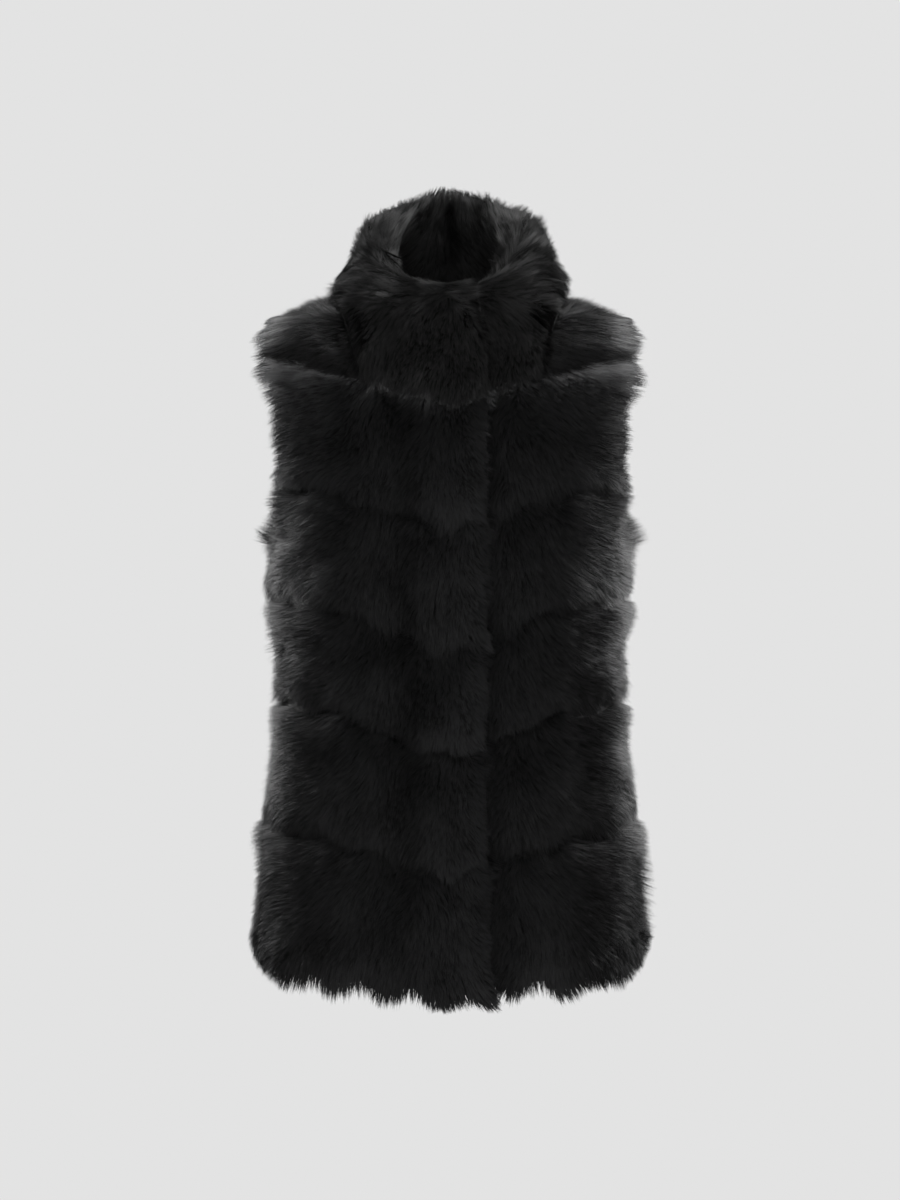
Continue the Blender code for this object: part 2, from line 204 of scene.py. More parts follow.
# Fades towards the wearer's left, across the lap, the collar and its facing.
LAP_COMB = Fade(start=0.002, span=0.034)
LAP_TUFTS = Fade(start=0.018, span=0.016)
LAP_HIGHLIGHT = Fade(start=-0.04, span=0.05)
FACING_LEFT = Fade(start=0.025, span=0.020)
COLLAR_LEFT = Fade(start=0.050, span=0.020)

# Fades from front to back.
COLLAR_COMB_FRONT = Fade(start=0.010, span=-0.060)
COLLAR_AHEAD = Fade(start=0.060, span=-0.080)
COLLAR_FRONT = Fade(start=-0.02, span=-0.06)
RING_REAR = Fade(start=0.005, span=0.020)

# Fades by height: over the vest, and above or below the rim.
COMB_LOW = Fade(start=-0.38, span=-0.25)
COMB_HEM = Fade(start=-0.575, span=-0.06)
YOKE_COMB_HIGH = Fade(start=0.002, span=0.020)
LOW_TIERS = Fade(start=-0.46, span=-0.12)
WAIST_LOW = Fade(start=-0.325, span=-0.03)
INNER_LOW = Fade(start=-0.26, span=-0.06)
HEM_CORNER_LOW = Fade(start=-0.585, span=-0.05)
SHOULDER_HIGH = Fade(start=0.005, span=0.015)
SHOULDER_TIP_LOW = Fade(start=0.004, span=-0.020)
COLLAR_HIGH = Fade(start=0.030, span=0.030)
NEAR_RIM = Fade(start=-0.035, span=0.050)
RING = Fade(start=-0.040, span=0.030)
RING_HIGHLIGHT_TUFT = Fade(start=0.10, span=0.25)

# A hump is 1 at its middle and dies away over its width.
Hump = namedtuple("Hump", "middle width")
INNER_STRIP = Hump(middle=0.145, width=0.022)
SHOULDER_HOLLOW = Hump(middle=0.135, width=0.018)
RIM_PEAK = Hump(middle=0.0, width=0.030)
ARMHOLE_FOOT = Hump(middle=0.0, width=0.018)

# How each sort of piece is combed: the parts of its way, and how steeply its pile rises off the wall.
TIER_COMB = SimpleNamespace(
    across=0.05,
    across_side=0.80,
    hem_across_less=1.1,
    lip_across_less=0.65,
    lap_across=0.75,
    flare=0.62,
    flare_less_low=0.35,
    lip_flare_less=0.8,
    rise=0.68,
    rise_side=0.06,
    lip_laid=0.10,
    lip_laid_side=0.08,
)
YOKE_COMB = SimpleNamespace(
    across=0.20,
    across_side=1.1,
    down=0.9,
    down_less_side=0.5,
    rise=0.64,
    rise_less_side=0.14,
    lip_laid=0.1,
    rise_high=0.22,
)
COLLAR_COMB = SimpleNamespace(
    parting=0.012,
    out=0.2,
    out_front=0.3,
    round_rim=0.9,
    up_behind=0.9,
    down=0.7,
    rise=0.60,
    lip_laid=0.12,
    rim_laid=0.08,
    side_laid=0.16,
)
FACING_COMB = SimpleNamespace(up=0.75, inwards=0.45, rise=0.60)

# How far strands pass the wall, in mm where no unit is given.
LIP_REACH = {"tier": 0.5 * MM, "yoke": 2 * MM, "collar": 12 * MM, "facing": 0.0}
LIP_REACH_BEHIND = 0.2
LIP_TUFTS = 13
LIP_WAVES = 6
HEM_EVENED = 0.8
HEM_REACH = 7 * MM
HEM_CORNER_CUT = 3 * MM
RING_FRONT_CUT = 1.5 * MM
RIM_PEAK_REACH = 3 * MM
ARMHOLE_FOOT_REACH = 8 * MM
ARMHOLE_FOOT_UP = 0.5
FACING_LEFT_REACH = 9 * MM
YOKE_INNER_CUT = 5 * MM

# Where the tips end up, in mm where no unit is given.
PUFF = 12.5
PUFF_LESS_AT_SIDE = 1.5
SHOULDER_END_DROP = 8
SHOULDER_HOLLOW_RISE = 4
SHOULDER_TIP_REACH = 9
SHOULDER_TIP_TUFTS = 12
FIRST_TIER_REACH = 6
FIRST_TIER_TUFTS = 8
COLLAR_LIP_DROP = 4 * MM
COLLAR_LIP_TUCK = 6 * MM
COLLAR_LEFT_REACH = 7 * MM

# Where the collar's and the front yokes' strands are seen from, besides from straight out.
COLLAR_SEEN = np.array((0.0, -0.8, 0.0))
YOKE_SEEN = np.array((0.0, -0.6, 0.0))

# What makes up the soft way out that a strand is lit by.
LIT = SimpleNamespace(
    out=0.58,
    face=0.42,
    yoke_ahead=0.5,
    yoke_side=0.4,
    tier_bulge=0.4,
    crest_up=0.7,
    crest_ahead=0.5,
    crest_side=0.7,
    low_ahead=0.42,
    waist_ahead=0.40,
)

# What a strand's shade starts from, and how much each part of the vest is lighter or darker: painted light
# and painted shade, set where the softboxes fall more or less on the black pile.
START_SHADE = 0.46
# Painted light: lighter pile at the hem's sides, the first tier's crest, the tier tops under the lips, the
# shoulder ends, the collar's front, the rim's tufts and the lap's edge.
PAINTED_LIGHT = SimpleNamespace(
    hem_side=0.35,
    crest=0.30,
    crest_side=0.60,
    front_top=0.22,
    shoulder_end=0.62,
    collar_front=0.22,
    ring_tufts=0.60,
    lap=0.34,
)
# Painted shade: darker pile at the sides' puffed tops and lower tiers, the back, the front lips, the waist
# strips, the yoke, the collar's sides and the rim's ring.
PAINTED_SHADE = SimpleNamespace(
    side_top=0.18,
    side_low=0.40,
    back=0.15,
    front_lip=0.08,
    inner_strip=0.35,
    yoke=0.38,
    collar_side=0.20,
    ring=0.15,
)

# How a pile takes the light: along a strand it runs from its root's colour and dullness to its tip's. The
# lighter tip colour is partly painted light, for the light that the tips catch at the tier edges.
Pile = namedtuple("Pile", "root tip roughness gloss")
PILES = {
    "body_pile": Pile(root=(0.008, 0.008, 0.008), tip=(0.030, 0.030, 0.031), roughness=0.60, gloss=0.22),
    "collar_pile": Pile(root=(0.005, 0.005, 0.005), tip=(0.032, 0.032, 0.032), roughness=0.75, gloss=0.05),
    "facing_pile": Pile(root=(0.006, 0.006, 0.006), tip=(0.034, 0.034, 0.034), roughness=0.75, gloss=0.06),
}
ROOT_ENDS = 0.15
ROOT_ROUGHNESS = 0.95
DARKEST_STRAND = 0.45
LIGHTEST_STRAND = 1.65
SHADE_LIMITS = (0.03, 0.97)
SHADE_SPREAD = 0.004

# The bare inside of the hide and the underfur on its outside.
Skin = namedtuple("Skin", "dark light scale bump")
SKINS = {
    "suede": Skin(dark=(0.014, 0.013, 0.013), light=(0.030, 0.028, 0.027), scale=900, bump=0.4 * MM),
    "underfur": Skin(dark=(0.005, 0.005, 0.005), light=(0.014, 0.014, 0.014), scale=420, bump=2 * MM),
}
SKIN_ROUGHNESS = 0.9
SKIN_DETAIL = 4
SKIN_BUMP = 0.6

# The studio.
PALE = 0.768
AMBIENT = 0.05
FLOOR_SIZE = 14
FLOOR_PLACE = (0, 3, -0.95)
FLOOR_BOUNCE = 0.3
CAMERA_AWAY = 3.1
CAMERA_Z = -0.270
FRAME_TALL = 1.2
SENSOR = 36
Softbox = namedtuple("Softbox", "name place aim width height watts")
SOFTBOXES = (
    Softbox("left_box", place=(-1.45, 1.0, 0.6), aim=(0, 0, -0.1), width=0.8, height=1.4, watts=95),
    Softbox("right_box", place=(1.45, 1.0, 0.6), aim=(0, 0, -0.1), width=0.8, height=1.4, watts=95),
    Softbox("top_box", place=(0, 0.35, 1.6), aim=(0, 0, -0.1), width=1.4, height=1.0, watts=55),
    Softbox("front_box", place=(0, -2.6, 0.2), aim=(0, 0, -0.6), width=1.6, height=1.0, watts=17),
)


def smooth(share):
    """An S-curve from 0 to 1."""
    share = np.clip(share, 0, 1)
    return share * share * (3 - 2 * share)


def faded(values, fade):
    """How far along a fade the values are."""
    return smooth((values - fade.start) / fade.span)


def humped(values, hump):
    """How near the middle of a hump the values are."""
    return np.exp(-(((values - hump.middle) / hump.width) ** 2))


def unit(vectors):
    """The vectors at length 1."""
    return vectors / np.maximum(np.linalg.norm(vectors, axis=-1, keepdims=True), 1e-12)


def dot(first, second):
    """The dot product row by row."""
    return np.einsum("ij,ij->i", first, second)


def kind_of(name):
    """Which sort of piece a node is."""
    if name.startswith("collar_facing"):
        return "facing"
    if name.startswith("collar"):
        return "collar"
    return "yoke" if name.endswith("yoke") else "tier"


def way_out(kind, places):
    """The way from the body's middle out through its wall."""
    if kind == "tier":
        out = places / np.array((BODY_X**2, BODY_Y**2, 1.0))
        out[:, 2] = 0
    elif kind == "yoke":
        out = places - YOKE_MIDDLE
    else:
        out = places * np.array((1.0, 1.0, 0.0))
    return unit(out)


def merged_copy(name):
    """A copy of a CAD node with its doubled points merged."""
    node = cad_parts[name]
    made = node.copy()
    made.data = node.data.copy()
    made.name = name + "_hide"
    made.parent = None
    for key in list(made.keys()):
        del made[key]
    bpy.context.scene.collection.objects.link(made)
    bpy.ops.object.select_all(action="DESELECT")
    made.select_set(True)
    bpy.context.view_layer.objects.active = made
    bpy.ops.object.mode_set(mode="EDIT")
    bpy.ops.mesh.select_all(action="SELECT")
    bpy.ops.mesh.remove_doubles(threshold=MERGE_WITHIN)
    bpy.ops.object.mode_set(mode="OBJECT")
    return made


def mesh_arrays(mesh):
    """A triangle mesh's points, triangles, face normals and face centres."""
    points = np.empty(len(mesh.vertices) * 3)
    mesh.vertices.foreach_get("co", points)
    points = points.reshape(-1, 3)
    corners = np.empty(len(mesh.loops), np.int64)
    mesh.loops.foreach_get("vertex_index", corners)
    corners = corners.reshape(-1, 3)
    a, b, c = (points[corners[:, k]] for k in range(3))
    return points, corners, np.cross(b - a, c - a) / 2, (a + b + c) / 3


def sides_of_wall(kind, normals, centres):
    """Which faces are the wall's pile side and which are its bare side."""
    facing_out = dot(normals, way_out(kind, centres))
    outside = facing_out > WALL_FACES_OUT
    inside = facing_out < -WALL_FACES_OUT
    upright = np.abs(normals[:, 2]) < UPRIGHT_BELOW
    if kind == "facing":
        return inside, outside & upright
    if kind == "collar":
        return outside, inside & upright
    if kind == "yoke":
        return outside, inside
    return outside & (normals[:, 2] <= UPRIGHT_BELOW), inside & upright


def rim_height(places):
    """How high the rim of the collar's hide stands at each place."""
    turn = np.clip(places[:, 1] / RIM_Y, -1, 1)
    return RIM_Z + RIM_TILT * turn + RIM_RISE * (1 - turn**2)


def pull_in_underfur(made, kind):
    """Brings a wall's pile side in to the underfur, so that a thin shell is left on the hide."""
    points, corners, normals, centres = mesh_arrays(made.data)
    pile, bare = sides_of_wall(kind, unit(normals), centres)
    pile_points = np.unique(corners[pile])
    bare &= ~np.isin(corners, pile_points).any(axis=1)
    bare_side = BVHTree.FromPolygons(points.tolist(), corners[bare].tolist())
    for k in pile_points:
        place = Vector(points[k])
        hide = bare_side.find_nearest(place)[0]
        points[k] = hide + (place - hide) * UNDERFUR_SHARE[kind]
    if kind in ("collar", "facing"):
        over_rim = np.maximum(points[:, 2] - rim_height(points), 0)
        points[:, 2] -= over_rim * (1 - RIM_STUB)
    edges = np.zeros_like(points)
    for k in range(3):
        np.add.at(edges, corners[~pile & ~bare, k], unit(normals)[~pile & ~bare])
    points += unit(edges) * SEAM_OVERLAP
    made.data.vertices.foreach_set("co", points.ravel())
    made.data.update()
    return bare


def cut_hide(name):
    """The hide of a node with its underfur, as a thin closed shell."""
    made = merged_copy(name)
    bare = pull_in_underfur(made, kind_of(name))
    made.data.materials.clear()
    made.data.materials.append(LOOKS["underfur"])
    made.data.materials.append(LOOKS["suede"])
    made.data.polygons.foreach_set("material_index", bare.astype(np.int32))
    bpy.ops.object.mode_set(mode="EDIT")
    bpy.ops.mesh.select_all(action="SELECT")
    bpy.ops.mesh.subdivide(number_cuts=1)
    bpy.ops.mesh.quads_convert_to_tris()
    bpy.ops.object.mode_set(mode="OBJECT")
    bpy.ops.object.shade_smooth_by_angle(angle=SMOOTH_ANGLE)
    return made


def pile_faces(name, normals, centres):
    """The faces of a wall that strands grow through."""
    kind = kind_of(name)
    facing_out = dot(normals, way_out(kind, centres))
    x, y, z = centres.T
    beside = np.abs(x)
    up = normals[:, 2]
    lap_end = (normals[:, 0] > LAP_END_TURNED) & (y < FRONT_Y) & (np.abs(x - LAP_EDGE_X) < LAP_END_NEAR)
    if kind == "facing":
        return (facing_out < 0) | (up > FACING_EDGE_UP)
    if kind == "collar":
        grown = (facing_out > PILE_FACES_OUT) | (up > COLLAR_EDGE_UP)
        if name.endswith("right"):
            return grown | lap_end
        return grown & ~((x < LAP_EDGE_X - LAP_COVERED) & (y < 0) & (up < COLLAR_COVERED_UP))
    if kind == "yoke":
        return facing_out > PILE_FACES_OUT
    side, foot = ARMHOLE_SIDE, ARMHOLE_BOTTOM
    grown = (facing_out > PILE_FACES_OUT) & (up <= UPRIGHT_BELOW)
    turned = (np.abs(normals[:, 1]) > side.turned) & (facing_out > side.out)
    grown |= turned & (beside > side.x) & (z > side.z)
    grown |= (up > foot.up) & (beside > foot.x) & (np.abs(y) < foot.deep) & (np.abs(z - foot.z) < foot.tall)
    if name.startswith("front_right"):
        return grown | lap_end
    if name.startswith("front_left"):
        return grown & (x > LAP_EDGE_X - LAP_COVERED)
    return grown


def scatter(points, corners, normals, count, rng):
    """Places spread evenly over the faces, with the smooth way out at each."""
    at_points = np.zeros_like(points)
    for k in range(3):
        np.add.at(at_points, corners[:, k], normals)
    at_points = unit(at_points)
    areas = np.linalg.norm(normals, axis=1)
    faces = rng.choice(len(corners), size=count, p=areas / areas.sum())
    first, second = rng.random((2, count))
    turned = first + second > 1
    first[turned], second[turned] = 1 - first[turned], 1 - second[turned]
    shares = np.stack((1 - first - second, first, second), axis=1)
    places = np.einsum("ij,ijk->ik", shares, points[corners[faces]])
    return places, unit(np.einsum("ij,ijk->ik", shares, at_points[corners[faces]]))


def hashed(cells, salt):
    """Three numbers from 0 to 1 for each cell, always the same for that cell."""
    mixed = cells.astype(np.uint64) @ np.array((73856093, 19349663, 83492791), np.uint64)
    numbers = []
    for k in range(3):
        value = mixed + np.uint64(salt * 7919 + k * 104729)
        value ^= value >> np.uint64(15)
        value *= np.uint64(2246822519)
        value ^= value >> np.uint64(13)
        value *= np.uint64(3266489917)
        value ^= value >> np.uint64(16)
        numbers.append((value & np.uint64(0xFFFFFF)).astype(float) / 0x1000000)
    return np.stack(numbers, axis=1)


def locks(places, size, salt):
    """The middle of the lock of hair that each place belongs to, and three numbers for that lock."""
    cells = np.floor(places / size).astype(np.int64) + HASH_OFFSET
    nearest = np.full(len(places), np.inf)
    middles = np.zeros_like(places)
    numbers = np.zeros_like(places)
    for step in itertools.product((-1, 0, 1), repeat=3):
        near_cells = cells + np.array(step)
        found = (near_cells - HASH_OFFSET + hashed(near_cells, salt)) * size
        gap = ((found - places) ** 2).sum(axis=1)
        closer = gap < nearest
        nearest[closer] = gap[closer]
        middles[closer] = found[closer]
        numbers[closer] = hashed(near_cells[closer], salt + 1)
    return middles, numbers


def waves(places, length, salt):
    """Three soft numbers from about -1 to 1 at each place, which turn over within the given length."""
    rng = np.random.default_rng(salt)
    numbers = np.zeros_like(places)
    for k in range(3):
        ways = unit(rng.normal(0, 1, (WAVE_COUNT, 3))) * rng.uniform(*WAVE_LENGTHS, (WAVE_COUNT, 1))
        turns = places @ (ways * 2 * np.pi / length).T + rng.uniform(0, 2 * np.pi, WAVE_COUNT)
        numbers[:, k] = np.sin(turns).sum(axis=1) / WAVE_EVENED
    return numbers


def turn_round(name, places):
    """How far round the body each place lies, from the middle of the front or of the back."""
    ahead = 1 if name.startswith("back") else -1
    return np.arctan2(places[:, 0] / BODY_X, ahead * places[:, 1] / BODY_Y)


def height_share(name, wall_points, places):
    """How far up its piece each place lies: 0 at the lower edge and 1 at the upper one."""
    turns = turn_round(name, places)
    wall_turns = turn_round(name, wall_points)
    steps = np.linspace(wall_turns.min(), wall_turns.max(), TURN_STEPS)
    near = np.abs(wall_turns[None, :] - steps[:, None]) < TURN_NEAR
    kept = near.any(axis=1)
    lows = np.array([wall_points[row, 2].min() for row in near[kept]])
    highs = np.array([wall_points[row, 2].max() for row in near[kept]])
    low = np.interp(turns, steps[kept], lows)
    high = np.interp(turns, steps[kept], highs)
    return np.clip((places[:, 2] - low) / np.maximum(high - low, LEAST_HEIGHT), 0, 1)


def read_spots(name, places, out, share, rng):
    """What is known of each place that a strand grows at, before it is combed."""
    kind = kind_of(name)
    x, y, z = places.T
    spots = SimpleNamespace(name=name, kind=kind, places=places, out=out, share=share, x=x, y=y, z=z)
    spots.count = len(places)
    spots.side = np.sign(x)
    spots.beside = np.abs(x)
    spots.on_back = name.startswith("back")
    spots.on_front = name.startswith("front")
    spots.laps_over = name.startswith("front_right")
    spots.lip = faded(share, LIP)
    spots.hem = spots.lip * name.endswith("tier_5")
    spots.top = faded(share, TOP) * (kind == "tier")
    spots.crest = faded(share, CREST) * (name.endswith("tier_1") and spots.on_front)
    spots.round_side = faded(spots.beside, SIDE)
    spots.outer = faded(spots.beside, OUTER)
    spots.low = faded(z, LOW_TIERS)
    spots.ahead = faded(y, COLLAR_AHEAD) * (kind == "collar")
    spots.rear = faded(y, RING_REAR)
    spots.ring = np.zeros(spots.count)
    if kind in ("collar", "facing"):
        spots.ring = faded(z - rim_height(places), RING)
    spots.wild = (1 + spots.ring)[:, None]
    spots.middles, numbers = locks(places, LOCK_SIZE, SEED)
    spots.lock = numbers - 0.5
    spots.tuft = locks(places, TUFT_SIZE, TUFT_SEED)[1] - 0.5
    spots.wave = waves(places, WAVE_LENGTH, WAVE_SEED)
    spots.guard = rng.random(spots.count) < GUARD_SHARE
    return spots


def ragged(spots, edge, tuft_number, lock_number):
    """How far an uneven edge stands out at each place, in mm."""
    return spots.tuft[:, tuft_number] * edge.tuft + spots.lock[:, lock_number] * edge.lock


def comb_tier(spots):
    """The way a tier is combed, out to the sides and down, and how steeply its pile stands."""
    comb = TIER_COMB
    side_share = faded(spots.beside, COMB_SIDE)
    hem = faded(spots.z, COMB_HEM)
    across = spots.side * (comb.across + comb.across_side * side_share)
    across *= (1 - comb.hem_across_less * hem) * (1 - comb.lip_across_less * spots.lip)
    if spots.laps_over:
        across += comb.lap_across * faded(spots.x, LAP_COMB)
    flare = comb.flare - comb.flare_less_low * faded(spots.z, COMB_LOW)
    down = 1.0 - flare * side_share * (1 - hem) * (1 - comb.lip_flare_less * spots.lip)
    laid = (comb.lip_laid + comb.lip_laid_side * side_share) * spots.lip
    rise = comb.rise + comb.rise_side * side_share - laid
    return np.stack((across, np.zeros_like(across), -down), axis=1), rise


def comb_yoke(spots):
    """The way a yoke is combed, along the shoulder, and how steeply its pile stands."""
    comb = YOKE_COMB
    side_share = faded(spots.beside, COMB_SIDE)
    across = spots.side * (comb.across + comb.across_side * side_share)
    down = comb.down - comb.down_less_side * side_share
    rise = comb.rise - comb.rise_less_side * side_share - comb.lip_laid * spots.lip
    rise += comb.rise_high * faded(spots.z, YOKE_COMB_HIGH)
    return np.stack((across, np.zeros_like(across), -down), axis=1), rise


def comb_collar(spots):
    """The way the collar is combed, down below its rim and round it, and how steeply its pile stands."""
    comb = COLLAR_COMB
    near_rim = faded(spots.z - rim_height(spots.places), NEAR_RIM)
    front = faded(spots.y, COLLAR_COMB_FRONT)
    around = way_out("collar", spots.places)
    along = np.cross((0.0, 0.0, 1.0), around) * np.clip(spots.x / comb.parting, -1, 1)[:, None]
    way = around * (comb.out + comb.out_front * front)[:, None]
    way += along * (comb.round_rim * near_rim * front)[:, None]
    way[:, 2] += comb.up_behind * near_rim * (1 - front) - comb.down * (1 - near_rim)
    laid = comb.side_laid * faded(spots.beside, COLLAR_COMB_SIDE) * (1 - near_rim)
    return way, comb.rise - comb.lip_laid * spots.lip - comb.rim_laid * near_rim - laid


def comb_facing(spots):
    """The way the facing is combed, up and into the collar, and how steeply its pile stands."""
    way = np.array((0, 0, FACING_COMB.up)) - way_out("collar", spots.places) * FACING_COMB.inwards
    return way, np.full(spots.count, FACING_COMB.rise)


def combed(spots):
    """The way the pile is combed at each place, before locks and chance."""
    comb = {"tier": comb_tier, "yoke": comb_yoke, "collar": comb_collar, "facing": comb_facing}
    way, rise = comb[spots.kind](spots)
    way = unit(way)
    square = np.clip(dot(way, spots.out), rise, MOST_SQUARE)
    flat = unit(way - dot(way, spots.out)[:, None] * spots.out)
    return flat * np.sqrt(1 - square**2)[:, None] + spots.out * square[:, None]


def comb_strands(spots, rng):
    """The way that each strand points, and its length."""
    leaning = (spots.tuft * LEAN.tuft + spots.lock * LEAN.lock) * spots.wild
    combing = combed(spots) + spots.wave * LEAN.wave + leaning
    combing = unit(combing + rng.normal(0, LEAN.strand, (spots.count, 3)))
    square = np.maximum(dot(combing, spots.out), LEAST_SQUARE)
    length = np.clip(ROOT_DEPTH / square, STRAND_SHORTEST, STRAND_LONGEST)
    return combing, length * rng.uniform(*LENGTH_CHANCE, spots.count)


def reach_past_wall(spots, rng):
    """How far each strand passes the wall's surface."""
    over = rng.normal(0, REACH.strand, spots.count) + spots.lock[:, 0] * REACH.lock
    over += spots.tuft[:, 1] * REACH.tuft + spots.wave[:, 0] * REACH.wave
    over += spots.guard * rng.uniform(*GUARD_REACH, spots.count) * MM
    reach = LIP_REACH[spots.kind]
    if spots.kind == "collar":
        reach = reach * (LIP_REACH_BEHIND + (1 - LIP_REACH_BEHIND) * spots.ahead)
    uneven = (spots.tuft[:, 0] * LIP_TUFTS + spots.wave[:, 2] * LIP_WAVES) * MM
    over += (spots.lip - spots.hem * HEM_EVENED) * (reach + uneven) + spots.hem * HEM_REACH
    rear_ring = spots.ring * spots.rear
    front_ring = spots.ring * (1 - spots.rear)
    over += rear_ring * (1 + ragged(spots, RING_EDGE, 0, 1)) * MM - front_ring * RING_FRONT_CUT
    over += rear_ring * RIM_PEAK_REACH * humped(spots.x, RIM_PEAK)
    if spots.kind == "tier":
        foot = spots.out[:, 2] > ARMHOLE_FOOT_UP
        over += ARMHOLE_FOOT_REACH * humped(spots.y, ARMHOLE_FOOT) * foot
    if spots.kind == "facing":
        over += FACING_LEFT_REACH * front_ring * faded(spots.x, FACING_LEFT)
    if spots.kind == "yoke":
        over -= YOKE_INNER_CUT * faded(spots.share, YOKE_UPPER) * faded(spots.beside, YOKE_INNER)
    if spots.laps_over:
        over += faded(spots.x, LAP_TUFTS) * (1 + ragged(spots, LAP_EDGE, 2, 2)) * MM
    return over - faded(spots.z, HEM_CORNER_LOW) * faded(spots.beside, HEM_CORNER_SIDE) * HEM_CORNER_CUT


def shape_yoke_tips(spots, tip):
    """Slopes the shoulder down to its end, where tufts stand out sideways."""
    drop = SHOULDER_END_DROP * faded(spots.beside, SHOULDER_END)
    drop -= SHOULDER_HOLLOW_RISE * humped(spots.beside, SHOULDER_HOLLOW)
    tip[:, 2] -= drop * MM * faded(spots.z, SHOULDER_HIGH)
    end = faded(spots.beside, SHOULDER_TIP) * faded(spots.z, SHOULDER_TIP_LOW)
    tip[:, 0] += spots.side * end * (SHOULDER_TIP_REACH + spots.tuft[:, 0] * SHOULDER_TIP_TUFTS) * MM


def shape_tier_tips(spots, tip):
    """Spreads the first tier's upper corners, and rounds off the hem."""
    if spots.name.endswith("tier_1"):
        wide = faded(spots.share, FIRST_TIER_UPPER) * faded(spots.beside, FIRST_TIER_SIDE)
        tip[:, 0] += spots.side * wide * (FIRST_TIER_REACH + spots.tuft[:, 0] * FIRST_TIER_TUFTS) * MM
    if spots.name.endswith("tier_5"):
        widest = np.interp(-tip[:, 2], np.negative(HEM_Z), HEM_X) + ragged(spots, HEM_EDGE, 1, 0) * MM
        tip[:, 0] = np.clip(tip[:, 0], -widest, widest)
        lowest = np.interp(np.abs(tip[:, 0]), HEM_X[::-1], HEM_Z[::-1])
        tip[:, 2] = np.maximum(tip[:, 2], lowest + ragged(spots, HEM_EDGE, 0, 1) * MM)


def shape_collar_tips(spots, tip):
    """Tucks in the collar's lower edge and keeps the rim's pile to its arch."""
    if spots.kind == "collar":
        tip[:, 2] -= COLLAR_LIP_DROP * spots.lip
        tuck = COLLAR_LIP_TUCK * spots.lip * (1 - spots.ahead)
        tip -= way_out("collar", spots.places) * tuck[:, None]
    arch = np.interp(spots.beside, RIM_ARCH_X, RIM_ARCH_Z) + ragged(spots, RIM_EDGE, 0, 1) * MM
    tip[:, 2] = np.where(spots.y > 0, np.minimum(tip[:, 2], arch), tip[:, 2])
    tip[:, 0] += COLLAR_LEFT_REACH * faded(spots.x, COLLAR_LEFT) * faded(spots.z, COLLAR_HIGH)


def place_tips(spots, combing, over, rng):
    """Where each strand ends: past the wall, drawn towards the middle of its lock."""
    shift = spots.middles - spots.places
    shift -= dot(shift, spots.out)[:, None] * spots.out
    armhole = (spots.beside > ARMHOLE_X) & (spots.z > ARMHOLE_Z)
    gather = rng.uniform(*GATHER, spots.count) * ~spots.guard * np.where(armhole, GATHER_ARMHOLE, 1.0)
    puff = spots.top * (PUFF - PUFF_LESS_AT_SIDE * spots.round_side) * MM
    tip = spots.places + spots.out * puff[:, None] + combing * over[:, None] + shift * gather[:, None]
    shape = {"tier": shape_tier_tips, "yoke": shape_yoke_tips}.get(spots.kind, shape_collar_tips)
    shape(spots, tip)
    return tip


def tucked_in(roots, surface):
    """The roots, with those that stand out of the pile's surface pushed back under it."""
    kept = roots.copy()
    for k, root in enumerate(roots):
        near, normal = surface.find_nearest(root)[:2]
        above = (Vector(root) - near).dot(normal) + ROOT_COVER
        if above > 0:
            kept[k] -= np.array(normal) * above
    return kept


def spread_roots(spots, root, tip, seen, rng):
    """Half the width of each strand's root, and the way its face looks, turned to where it is seen from."""
    along = unit(tip - root)
    flat = unit(np.cross(along, spots.out))
    roll = rng.uniform(*ROLL_CHANCE, spots.count)
    across = flat * np.cos(roll)[:, None] + np.cross(along, flat) * np.sin(roll)[:, None]
    wide = STRAND_WIDTH / 2 * rng.uniform(*WIDTH_CHANCE, spots.count)
    half = across * (wide * (1 - GUARD_FINER * spots.guard + HEM_WIDER * spots.hem))[:, None]
    face = unit(np.cross(half, tip - root))
    shown = seen + YOKE_SEEN * (spots.kind == "yoke" and spots.on_front)
    turned = np.where(dot(face, shown) < 0, -1.0, 1.0)[:, None]
    return half * turned, face * turned


def soft_light(spots, face, seen, rng):
    """The soft way out that each strand is lit by."""
    lit = seen * LIT.out + face * LIT.face + spots.wave * LIGHT.wave
    lit += (spots.tuft * LIGHT.tuft + spots.lock * LIGHT.lock) * spots.wild
    lit += rng.normal(0, LIGHT.strand, (spots.count, 3)) * (1 + LIGHT_SIDE_CHANCE * spots.round_side)[:, None]
    middle = 1 - spots.round_side
    if spots.kind == "yoke":
        lit[:, 1] -= LIT.yoke_ahead * (1 - spots.outer) * (not spots.on_back)
        lit[:, 0] += spots.side * LIT.yoke_side * spots.outer
    if spots.kind == "tier":
        lit[:, 2] += LIT.tier_bulge * (spots.share - 0.5) * middle + LIT.crest_up * spots.crest
        lit[:, 1] -= LIT.crest_ahead * spots.crest * middle
        lit[:, 0] += spots.side * LIT.crest_side * spots.crest * spots.round_side
    if spots.kind == "tier" and not spots.on_back:
        waist = humped(spots.beside, INNER_STRIP) * faded(spots.z, WAIST_LOW)
        lit[:, 1] -= LIT.low_ahead * spots.low * spots.round_side
        lit[:, 1] -= LIT.waist_ahead * waist * (1 - spots.low)
    return unit(lit)


